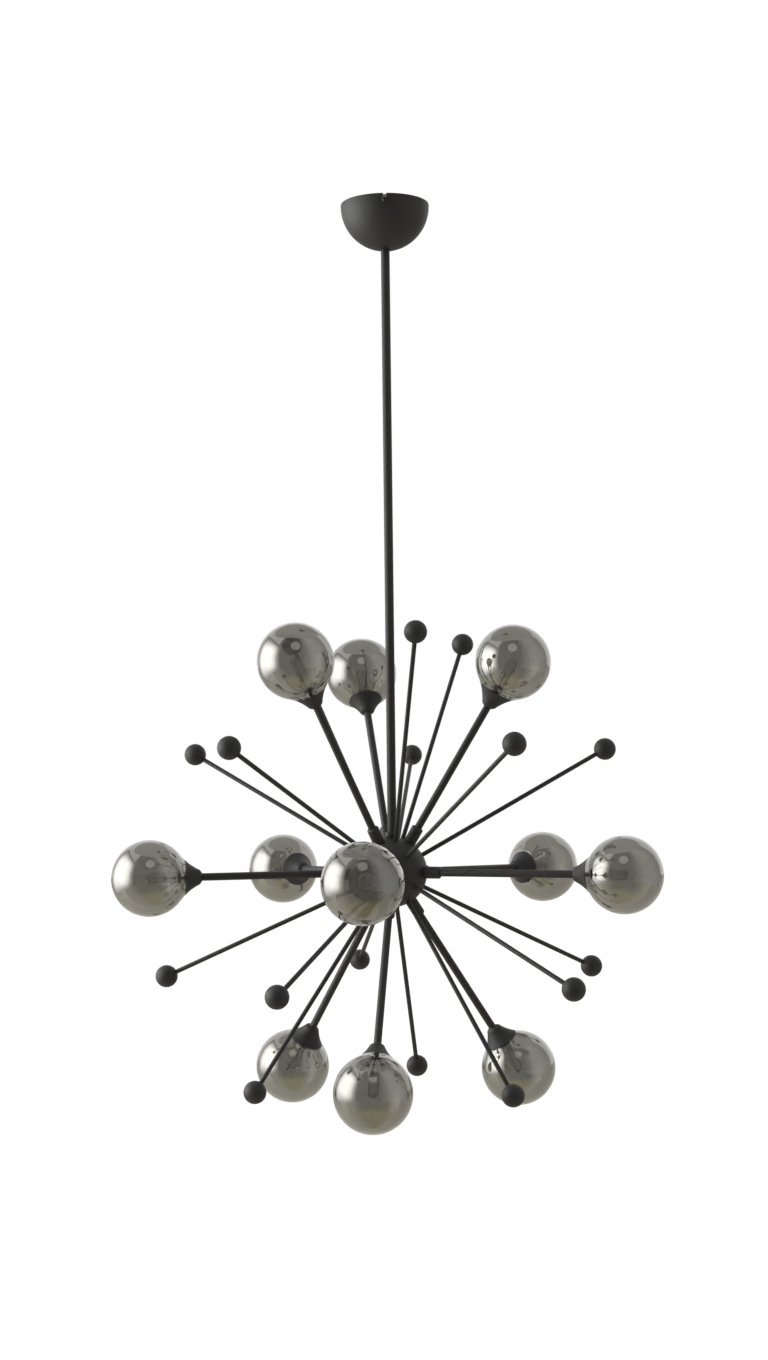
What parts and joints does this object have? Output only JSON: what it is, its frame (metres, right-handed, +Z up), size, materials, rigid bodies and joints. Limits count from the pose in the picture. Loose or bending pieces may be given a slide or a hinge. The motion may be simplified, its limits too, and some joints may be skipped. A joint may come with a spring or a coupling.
{
  "type": "ceiling light",
  "caption": "Dandelion-shaped pendant light: a domed canopy and a long stem carry a ball hub with smoked glass globes on arms and thin rods tipped with small balls.",
  "frame": {"origin": "on the ceiling plane, at the middle of the bracket's two slots and on the stem's axis", "axes": "+Z up into the ceiling, -Y towards the viewer of the picture, +X to the viewer's right"},
  "size_m": [0.7126, 0.7034, 1.2239],
  "materials": {
    "black_metal": "satin black",
    "zinc_steel": "zinc plated",
    "smoked_glass": "smoked, faintly mirrored",
    "bulb_glass": "frosted",
    "lampholder_body": "glazed",
    "white_plastic": "moulded",
    "wire_sheath": "silicone sheath",
    "silicone": "clear silicone"
  },
  "bodies": {
    "fixture": {"mounting_bracket": "zinc_steel", "canopy_screws": "black_metal", "stem_nipple": "zinc_steel", "nipple_nuts": "zinc_steel", "stem": "black_metal", "stem_collar": "black_metal", "terminal_block": "white_plastic", "supply_lead": "wire_sheath", "hub_body": "black_metal", "hub_cover": "black_metal", "hub_finial": "black_metal", "junction_ring": "white_plastic", "arm_wires": "wire_sheath", "arm_nuts": "zinc_steel", "lampholders": "lampholder_body", "cup_bushes": "black_metal", "arms_upper": "black_metal", "hub_collars_upper": "black_metal", "cups_upper": "black_metal", "bulbs_upper": "bulb_glass", "arms_middle": "black_metal", "hub_collars_middle": "black_metal", "cups_middle": "black_metal", "bulbs_middle": "bulb_glass", "arms_lower": "black_metal", "hub_collars_lower": "black_metal", "cups_lower": "black_metal", "bulbs_lower": "bulb_glass", "accent_rods_crown": "black_metal", "accent_balls_crown": "black_metal", "accent_rods_high": "black_metal", "accent_balls_high": "black_metal", "accent_rods_low": "black_metal", "accent_balls_low": "black_metal", "accent_rods_foot": "black_metal", "accent_balls_foot": "black_metal"},
    "canopy": {"canopy": "black_metal"},
    "neck_ring_upper_1": {"neck_ring_upper_1": "silicone"},
    "globe_upper_1": {"globe_upper_1": "smoked_glass"},
    "neck_ring_upper_2": {"neck_ring_upper_2": "silicone"},
    "globe_upper_2": {"globe_upper_2": "smoked_glass"},
    "neck_ring_upper_3": {"neck_ring_upper_3": "silicone"},
    "globe_upper_3": {"globe_upper_3": "smoked_glass"},
    "neck_ring_middle_1": {"neck_ring_middle_1": "silicone"},
    "globe_middle_1": {"globe_middle_1": "smoked_glass"},
    "neck_ring_middle_2": {"neck_ring_middle_2": "silicone"},
    "globe_middle_2": {"globe_middle_2": "smoked_glass"},
    "neck_ring_middle_3": {"neck_ring_middle_3": "silicone"},
    "globe_middle_3": {"globe_middle_3": "smoked_glass"},
    "neck_ring_middle_4": {"neck_ring_middle_4": "silicone"},
    "globe_middle_4": {"globe_middle_4": "smoked_glass"},
    "neck_ring_middle_5": {"neck_ring_middle_5": "silicone"},
    "globe_middle_5": {"globe_middle_5": "smoked_glass"},
    "neck_ring_lower_1": {"neck_ring_lower_1": "silicone"},
    "globe_lower_1": {"globe_lower_1": "smoked_glass"},
    "neck_ring_lower_2": {"neck_ring_lower_2": "silicone"},
    "globe_lower_2": {"globe_lower_2": "smoked_glass"},
    "neck_ring_lower_3": {"neck_ring_lower_3": "silicone"},
    "globe_lower_3": {"globe_lower_3": "smoked_glass"}
  },
  "joints": [
    {"name": "canopy_slide", "type": "slide", "parent": "fixture", "child": "canopy", "axis": [0, 0, -1], "range_m": [0, 0.74]},
    {"name": "globe_upper_1_lift", "type": "slide", "parent": "fixture", "child": "neck_ring_upper_1", "axis": [-0.3759, -0.363, 0.8526], "range_m": [0, 0.004]},
    {"name": "globe_upper_1_turn", "type": "hinge", "parent": "neck_ring_upper_1", "child": "globe_upper_1", "pos_m": [-0.12178, -0.1176, -0.62874], "axis": [-0.3759, -0.363, 0.8526], "range_deg": [0, 360]},
    {"name": "globe_upper_2_lift", "type": "slide", "parent": "fixture", "child": "neck_ring_upper_2", "axis": [0.5023, -0.144, 0.8526], "range_m": [0, 0.004]},
    {"name": "globe_upper_2_turn", "type": "hinge", "parent": "neck_ring_upper_2", "child": "globe_upper_2", "pos_m": [0.16273, -0.04666, -0.62874], "axis": [0.5023, -0.144, 0.8526], "range_deg": [0, 360]},
    {"name": "globe_upper_3_lift", "type": "slide", "parent": "fixture", "child": "neck_ring_upper_3", "axis": [-0.1264, 0.507, 0.8526], "range_m": [0, 0.004]},
    {"name": "globe_upper_3_turn", "type": "hinge", "parent": "neck_ring_upper_3", "child": "globe_upper_3", "pos_m": [-0.04095, 0.16426, -0.62874], "axis": [-0.1264, 0.507, 0.8526], "range_deg": [0, 360]},
    {"name": "globe_middle_1_lift", "type": "slide", "parent": "fixture", "child": "neck_ring_middle_1", "axis": [-0.1097, -0.9939, -0.007], "range_m": [0, 0.004]},
    {"name": "globe_middle_1_turn", "type": "hinge", "parent": "neck_ring_middle_1", "child": "globe_middle_1", "pos_m": [-0.03555, -0.32204, -0.90726], "axis": [-0.1097, -0.9939, -0.007], "range_deg": [0, 360]},
    {"name": "globe_middle_2_lift", "type": "slide", "parent": "fixture", "child": "neck_ring_middle_2", "axis": [0.9114, -0.4115, -0.007], "range_m": [0, 0.004]},
    {"name": "globe_middle_2_turn", "type": "hinge", "parent": "neck_ring_middle_2", "child": "globe_middle_2", "pos_m": [0.29529, -0.13333, -0.90726], "axis": [0.9114, -0.4115, -0.007], "range_deg": [0, 360]},
    {"name": "globe_middle_3_lift", "type": "slide", "parent": "fixture", "child": "neck_ring_middle_3", "axis": [0.673, 0.7396, -0.007], "range_m": [0, 0.004]},
    {"name": "globe_middle_3_turn", "type": "hinge", "parent": "neck_ring_middle_3", "child": "globe_middle_3", "pos_m": [0.21805, 0.23963, -0.90726], "axis": [0.673, 0.7396, -0.007], "range_deg": [0, 360]},
    {"name": "globe_middle_4_lift", "type": "slide", "parent": "fixture", "child": "neck_ring_middle_4", "axis": [-0.4954, 0.8686, -0.007], "range_m": [0, 0.004]},
    {"name": "globe_middle_4_turn", "type": "hinge", "parent": "neck_ring_middle_4", "child": "globe_middle_4", "pos_m": [-0.16053, 0.28143, -0.90726], "axis": [-0.4954, 0.8686, -0.007], "range_deg": [0, 360]},
    {"name": "globe_middle_5_lift", "type": "slide", "parent": "fixture", "child": "neck_ring_middle_5", "axis": [-0.9792, -0.2028, -0.007], "range_m": [0, 0.004]},
    {"name": "globe_middle_5_turn", "type": "hinge", "parent": "neck_ring_middle_5", "child": "globe_middle_5", "pos_m": [-0.31726, -0.0657, -0.90726], "axis": [-0.9792, -0.2028, -0.007], "range_deg": [0, 360]},
    {"name": "globe_lower_1_lift", "type": "slide", "parent": "fixture", "child": "neck_ring_lower_1", "axis": [-0.0844, -0.5513, -0.83], "range_m": [0, 0.004]},
    {"name": "globe_lower_1_turn", "type": "hinge", "parent": "neck_ring_lower_1", "child": "globe_lower_1", "pos_m": [-0.02733, -0.17863, -1.17392], "axis": [-0.0844, -0.5513, -0.83], "range_deg": [0, 360]},
    {"name": "globe_lower_2_lift", "type": "slide", "parent": "fixture", "child": "neck_ring_lower_2", "axis": [0.5196, 0.2026, -0.83], "range_m": [0, 0.004]},
    {"name": "globe_lower_2_turn", "type": "hinge", "parent": "neck_ring_lower_2", "child": "globe_lower_2", "pos_m": [0.16836, 0.06564, -1.17392], "axis": [0.5196, 0.2026, -0.83], "range_deg": [0, 360]},
    {"name": "globe_lower_3_lift", "type": "slide", "parent": "fixture", "child": "neck_ring_lower_3", "axis": [-0.4353, 0.3487, -0.83], "range_m": [0, 0.004]},
    {"name": "globe_lower_3_turn", "type": "hinge", "parent": "neck_ring_lower_3", "child": "globe_lower_3", "pos_m": [-0.14103, 0.11299, -1.17392], "axis": [-0.4353, 0.3487, -0.83], "range_deg": [0, 360]}
  ],
  "couplings": [
    {"joint": "globe_upper_1_lift", "follows": "globe_upper_1_turn", "m_per_rad": 0.00063661},
    {"joint": "globe_upper_2_lift", "follows": "globe_upper_2_turn", "m_per_rad": 0.00063661},
    {"joint": "globe_upper_3_lift", "follows": "globe_upper_3_turn", "m_per_rad": 0.00063661},
    {"joint": "globe_middle_1_lift", "follows": "globe_middle_1_turn", "m_per_rad": 0.00063661},
    {"joint": "globe_middle_2_lift", "follows": "globe_middle_2_turn", "m_per_rad": 0.00063661},
    {"joint": "globe_middle_3_lift", "follows": "globe_middle_3_turn", "m_per_rad": 0.00063661},
    {"joint": "globe_middle_4_lift", "follows": "globe_middle_4_turn", "m_per_rad": 0.00063661},
    {"joint": "globe_middle_5_lift", "follows": "globe_middle_5_turn", "m_per_rad": 0.00063661},
    {"joint": "globe_lower_1_lift", "follows": "globe_lower_1_turn", "m_per_rad": 0.00063661},
    {"joint": "globe_lower_2_lift", "follows": "globe_lower_2_turn", "m_per_rad": 0.00063661},
    {"joint": "globe_lower_3_lift", "follows": "globe_lower_3_turn", "m_per_rad": 0.00063661}
  ]
}
